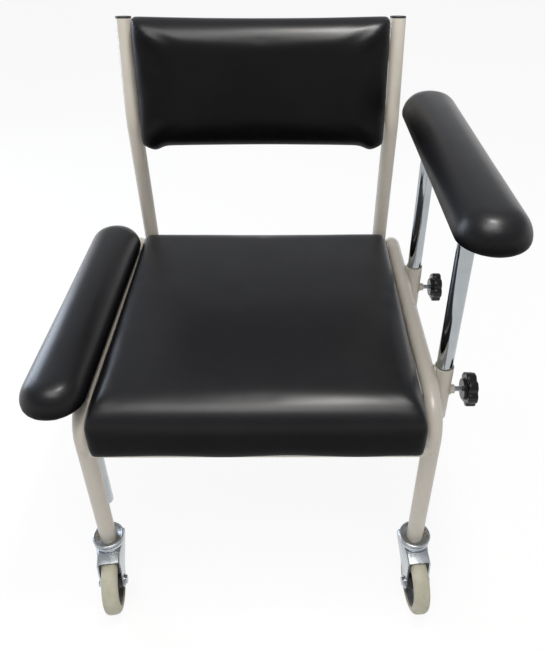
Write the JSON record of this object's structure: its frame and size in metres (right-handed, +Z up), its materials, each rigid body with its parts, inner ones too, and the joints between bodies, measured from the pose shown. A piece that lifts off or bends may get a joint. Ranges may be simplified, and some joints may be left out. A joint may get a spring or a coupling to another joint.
{
  "type": "mobile patient chair",
  "caption": "Padded hospital chair on swivel castors, with a bent-tube frame and armrests that slide up and down in clamp sockets.",
  "frame": {"origin": "on the floor under the middle of the chair's outline", "axes": "+Z up; -Y is the front, where the sitter faces; +X is right as seen from the front, the sitter's left. At rest the +X armrest is raised and the -X armrest lowered."},
  "size_m": [0.642, 0.5987, 0.8017],
  "materials": {
    "frame_paint": "warm beige-grey epoxy coat, satin gloss",
    "vinyl": "black satin upholstery vinyl with a fine grain, over foam",
    "chrome": "bright chrome plate",
    "zinc": "bright zinc plate with a bluish cast",
    "knob_plastic": "gloss black moulded plastic",
    "cap_plastic": "matt black moulded plastic",
    "hub_plastic": "black moulded nylon",
    "tyre": "grey-beige non-marking rubber",
    "plywood": "sanded plywood"
  },
  "bodies": {
    "frame": {"left_side_frame": "frame_paint", "right_side_frame": "frame_paint", "front_cross_rail": "frame_paint", "rear_cross_rail": "frame_paint", "left_seat_bearer": "frame_paint", "right_seat_bearer": "frame_paint", "left_back_upright": "frame_paint", "right_back_upright": "frame_paint", "left_upright_cap": "cap_plastic", "right_upright_cap": "cap_plastic", "lower_back_strap": "frame_paint", "upper_back_strap": "frame_paint", "seat_board": "plywood", "seat_cushion": "vinyl", "back_board": "plywood", "back_cushion": "vinyl", "left_front_arm_socket": "frame_paint", "left_rear_arm_socket": "frame_paint", "right_front_arm_socket": "frame_paint", "right_rear_arm_socket": "frame_paint", "front_left_castor_head": "zinc", "front_right_castor_head": "zinc", "rear_left_castor_head": "zinc", "rear_right_castor_head": "zinc"},
    "left_arm": {"left_armrest_pad": "vinyl", "left_armrest_plate": "frame_paint", "left_front_arm_post": "chrome", "left_rear_arm_post": "chrome"},
    "right_arm": {"right_armrest_pad": "vinyl", "right_armrest_plate": "frame_paint", "right_front_arm_post": "chrome", "right_rear_arm_post": "chrome"},
    "left_front_stud": {"left_front_clamp_stud": "zinc"},
    "left_front_knob": {"left_front_clamp_knob": "knob_plastic"},
    "left_rear_stud": {"left_rear_clamp_stud": "zinc"},
    "left_rear_knob": {"left_rear_clamp_knob": "knob_plastic"},
    "right_front_stud": {"right_front_clamp_stud": "zinc"},
    "right_front_knob": {"right_front_clamp_knob": "knob_plastic"},
    "right_rear_stud": {"right_rear_clamp_stud": "zinc"},
    "right_rear_knob": {"right_rear_clamp_knob": "knob_plastic"},
    "front_left_swivel": {"front_left_castor_fork": "zinc", "front_left_axle_bolt": "zinc"},
    "front_left_wheel": {"front_left_wheel_hub": "hub_plastic", "front_left_tyre": "tyre"},
    "front_right_swivel": {"front_right_castor_fork": "zinc", "front_right_axle_bolt": "zinc"},
    "front_right_wheel": {"front_right_wheel_hub": "hub_plastic", "front_right_tyre": "tyre"},
    "rear_left_swivel": {"rear_left_castor_fork": "zinc", "rear_left_axle_bolt": "zinc"},
    "rear_left_wheel": {"rear_left_wheel_hub": "hub_plastic", "rear_left_tyre": "tyre"},
    "rear_left_pedal": {"rear_left_brake_pedal": "zinc"},
    "rear_right_swivel": {"rear_right_castor_fork": "zinc", "rear_right_axle_bolt": "zinc"},
    "rear_right_wheel": {"rear_right_wheel_hub": "hub_plastic", "rear_right_tyre": "tyre"},
    "rear_right_pedal": {"rear_right_brake_pedal": "zinc"}
  },
  "joints": [
    {"name": "left_arm_height", "type": "slide", "parent": "frame", "child": "left_arm", "axis": [0, 0, 1], "range_m": [0, 0.248]},
    {"name": "right_arm_height", "type": "slide", "parent": "frame", "child": "right_arm", "axis": [0, 0, 1], "range_m": [-0.248, 0]},
    {"name": "left_front_stud_travel", "type": "slide", "parent": "frame", "child": "left_front_stud", "axis": [-1, 0, 0], "range_m": [0, 0.0026]},
    {"name": "left_front_knob_turn", "type": "hinge", "parent": "left_front_stud", "child": "left_front_knob", "pos_m": [-0.31, -0.12725, 0.354], "axis": [-1, 0, 0], "range_deg": [0, 720]},
    {"name": "left_rear_stud_travel", "type": "slide", "parent": "frame", "child": "left_rear_stud", "axis": [-1, 0, 0], "range_m": [0, 0.0026]},
    {"name": "left_rear_knob_turn", "type": "hinge", "parent": "left_rear_stud", "child": "left_rear_knob", "pos_m": [-0.31, 0.14375, 0.354], "axis": [-1, 0, 0], "range_deg": [0, 720]},
    {"name": "right_front_stud_travel", "type": "slide", "parent": "frame", "child": "right_front_stud", "axis": [1, 0, 0], "range_m": [0, 0.0026]},
    {"name": "right_front_knob_turn", "type": "hinge", "parent": "right_front_stud", "child": "right_front_knob", "pos_m": [0.31, -0.12725, 0.354], "axis": [1, 0, 0], "range_deg": [0, 720]},
    {"name": "right_rear_stud_travel", "type": "slide", "parent": "frame", "child": "right_rear_stud", "axis": [1, 0, 0], "range_m": [0, 0.0026]},
    {"name": "right_rear_knob_turn", "type": "hinge", "parent": "right_rear_stud", "child": "right_rear_knob", "pos_m": [0.31, 0.14375, 0.354], "axis": [1, 0, 0], "range_deg": [0, 720]},
    {"name": "front_left_swivel_turn", "type": "hinge", "parent": "frame", "child": "front_left_swivel", "pos_m": [-0.2435, -0.21525, 0.11], "axis": [0, 0, 1], "continuous": true},
    {"name": "front_left_wheel_roll", "type": "hinge", "parent": "front_left_swivel", "child": "front_left_wheel", "pos_m": [-0.23877, -0.24892, 0.05], "axis": [0.9903, 0.1392, 0], "continuous": true},
    {"name": "front_right_swivel_turn", "type": "hinge", "parent": "frame", "child": "front_right_swivel", "pos_m": [0.2435, -0.21525, 0.11], "axis": [0, 0, 1], "continuous": true},
    {"name": "front_right_wheel_roll", "type": "hinge", "parent": "front_right_swivel", "child": "front_right_wheel", "pos_m": [0.24646, -0.24912, 0.05], "axis": [0.9962, 0.0872, 0], "continuous": true},
    {"name": "rear_left_swivel_turn", "type": "hinge", "parent": "frame", "child": "rear_left_swivel", "pos_m": [-0.2435, 0.27475, 0.11], "axis": [0, 0, 1], "continuous": true},
    {"name": "rear_left_wheel_roll", "type": "hinge", "parent": "rear_left_swivel", "child": "rear_left_wheel", "pos_m": [-0.23995, 0.24094, 0.05], "axis": [0.9945, 0.1045, 0], "continuous": true},
    {"name": "rear_left_brake_press", "type": "hinge", "parent": "rear_left_swivel", "child": "rear_left_pedal", "pos_m": [-0.24031, 0.24442, 0.094], "axis": [0.9945, 0.1045, 0], "range_deg": [0, 12]},
    {"name": "rear_right_swivel_turn", "type": "hinge", "parent": "frame", "child": "rear_right_swivel", "pos_m": [0.2435, 0.27475, 0.11], "axis": [0, 0, 1], "continuous": true},
    {"name": "rear_right_wheel_roll", "type": "hinge", "parent": "rear_right_swivel", "child": "rear_right_wheel", "pos_m": [0.24705, 0.24094, 0.05], "axis": [0.9945, 0.1045, 0], "continuous": true},
    {"name": "rear_right_brake_press", "type": "hinge", "parent": "rear_right_swivel", "child": "rear_right_pedal", "pos_m": [0.24669, 0.24442, 0.094], "axis": [0.9945, 0.1045, 0], "range_deg": [0, 12]}
  ],
  "couplings": [
    {"joint": "left_front_stud_travel", "follows": "left_front_knob_turn", "m_per_rad": 0.00019894},
    {"joint": "left_rear_stud_travel", "follows": "left_rear_knob_turn", "m_per_rad": 0.00019894},
    {"joint": "right_front_stud_travel", "follows": "right_front_knob_turn", "m_per_rad": 0.00019894},
    {"joint": "right_rear_stud_travel", "follows": "right_rear_knob_turn", "m_per_rad": 0.00019894}
  ]
}
